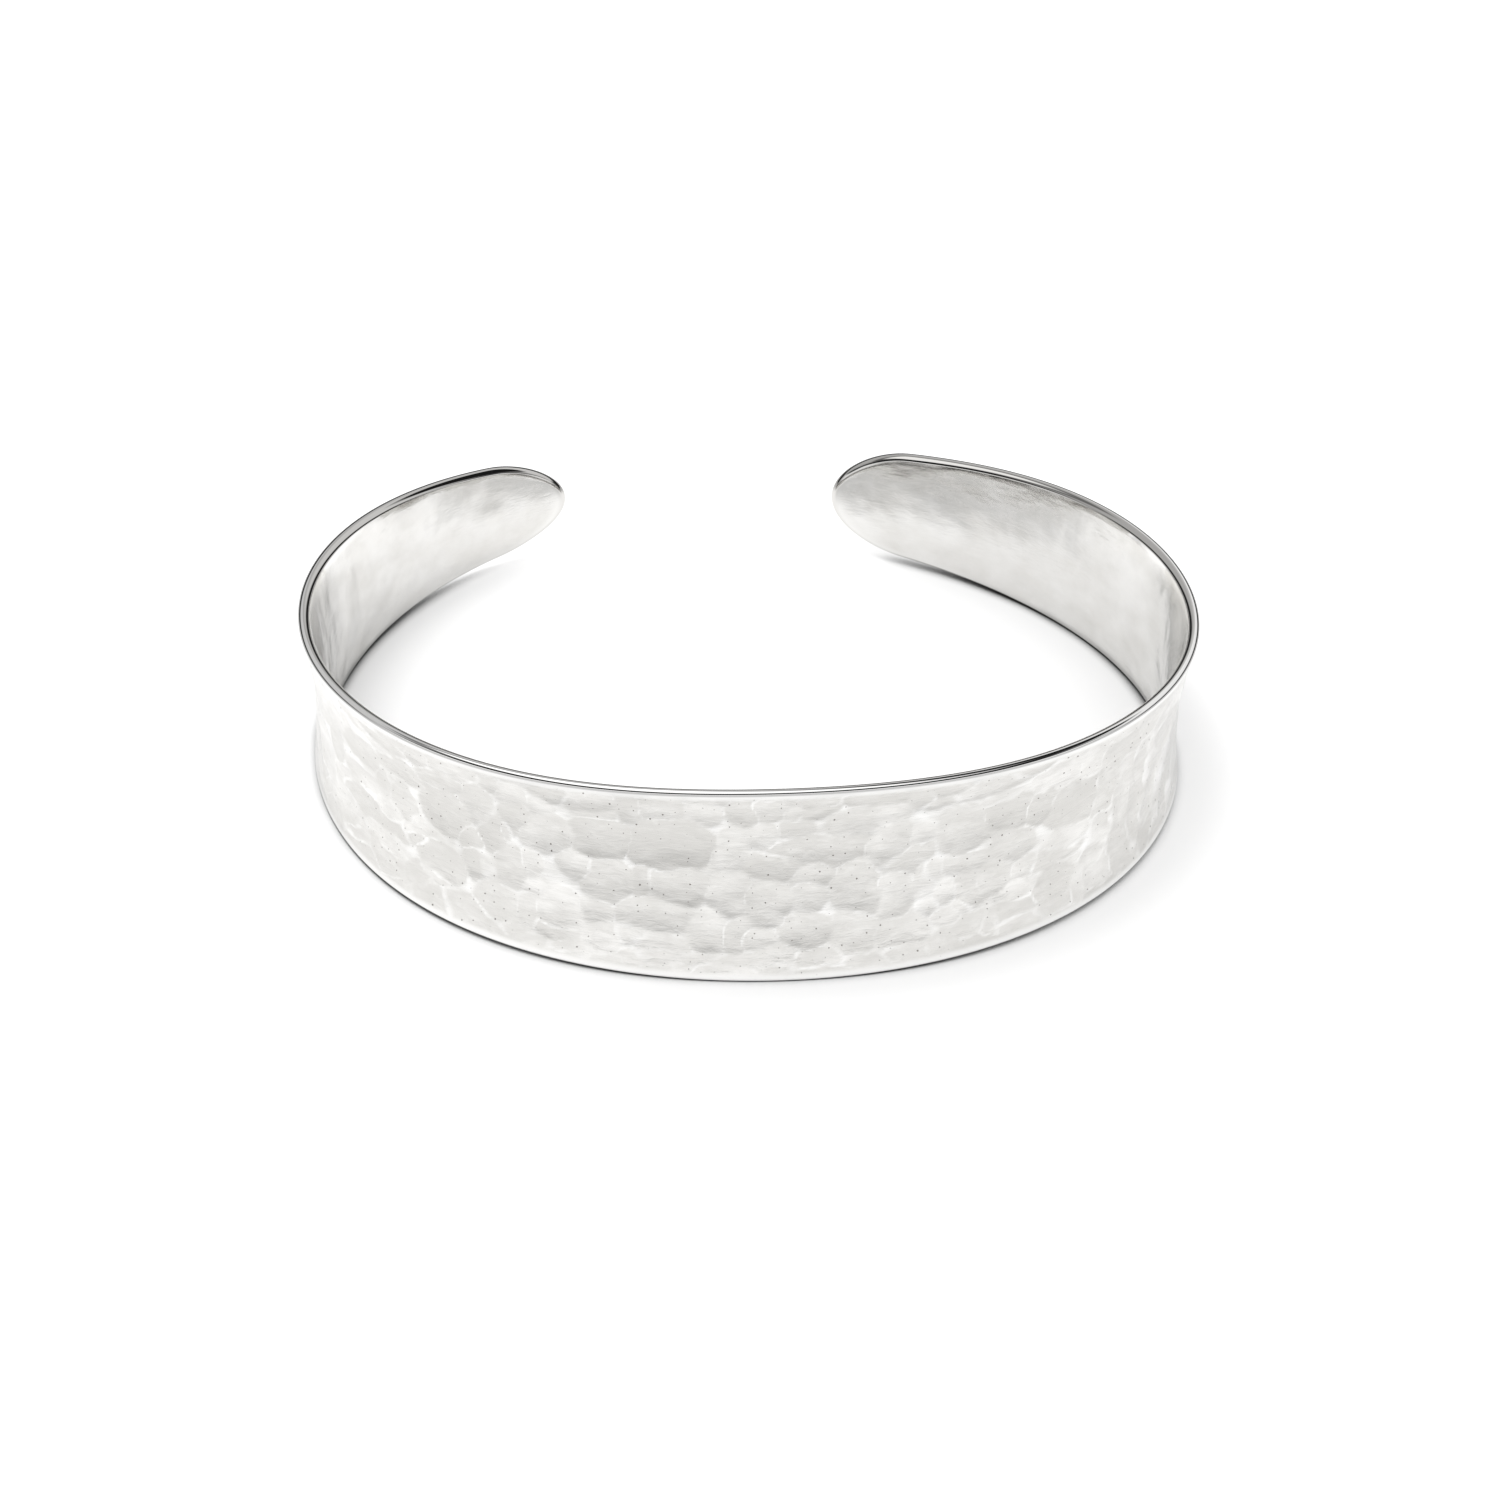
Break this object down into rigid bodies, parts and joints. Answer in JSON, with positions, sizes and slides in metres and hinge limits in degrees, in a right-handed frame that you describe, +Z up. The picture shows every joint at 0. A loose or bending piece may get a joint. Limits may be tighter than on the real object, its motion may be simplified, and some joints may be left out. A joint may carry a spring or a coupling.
{
  "type": "cuff bracelet",
  "caption": "Open oval cuff bracelet, one strip of hammered silver sheet with flared polished rims, narrowing to rounded tips, lying on its side.",
  "frame": {"origin": "on the surface that the cuff lies on, under the middle of its outer box", "axes": "+Z up, along the line that the wrist takes through the cuff; +X along the oval's longer way, to the right as seen from the front; +Y from the front of the band towards the opening between the tips"},
  "size_m": [0.0618, 0.0508, 0.015],
  "materials": {
    "hammered_silver": "hammered outside, smooth inside, rims polished"
  },
  "bodies": {
    "root": {"cuff_band": "hammered_silver"}
  },
  "joints": []
}
